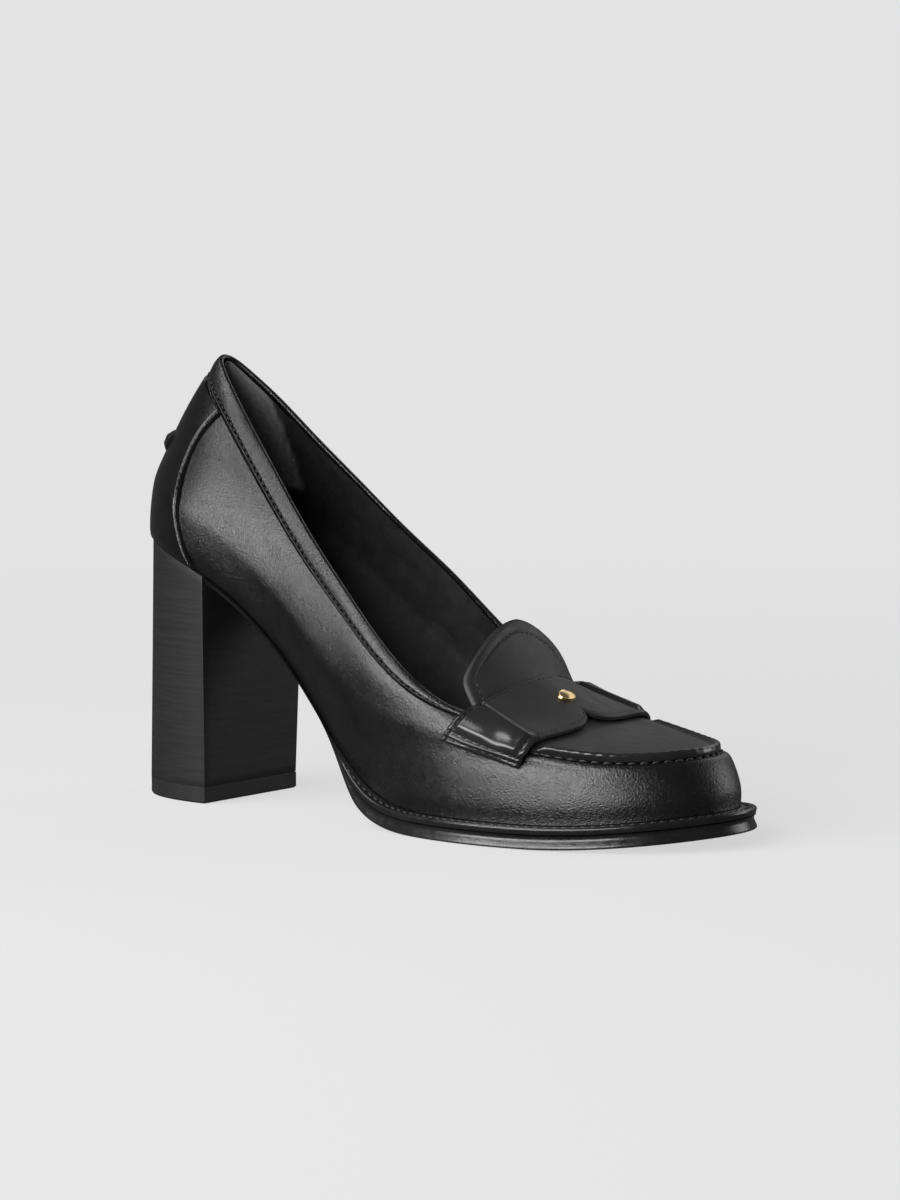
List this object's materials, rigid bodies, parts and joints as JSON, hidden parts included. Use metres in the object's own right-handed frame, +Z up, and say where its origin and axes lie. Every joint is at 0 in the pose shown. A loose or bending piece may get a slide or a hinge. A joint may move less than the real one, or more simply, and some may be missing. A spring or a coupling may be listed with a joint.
{
  "type": "high-heeled penny loafer pump",
  "caption": "Black leather loafer pump for the right foot, with a moccasin apron, a saddle strap with a plain stud, a standing tongue and a high stacked block heel.",
  "frame": {"origin": "on the floor under the middle of the shoe's bounding box", "axes": "+X from heel to toe, +Y to the inner side of the foot, +Z up"},
  "size_m": [0.2253, 0.0858, 0.1443],
  "materials": {
    "upper_leather": "smooth black calf, semi-gloss",
    "lining_leather": "black lining leather, matt",
    "sole_edge": "black dyed and waxed edge, satin",
    "stacked_leather": "black stacked leather with fine layers, satin",
    "heel_rubber": "black rubber, matt",
    "stud_metal": "polished gold-tone"
  },
  "bodies": {
    "root": {"upper": "upper_leather", "back_strip": "upper_leather", "heel_tab": "upper_leather", "apron": "upper_leather", "saddle_strap": "upper_leather", "tongue": "upper_leather", "stud": "stud_metal", "insole": "lining_leather", "welt": "sole_edge", "outsole": "sole_edge", "heel": "stacked_leather", "top_piece": "heel_rubber"}
  },
  "joints": []
}
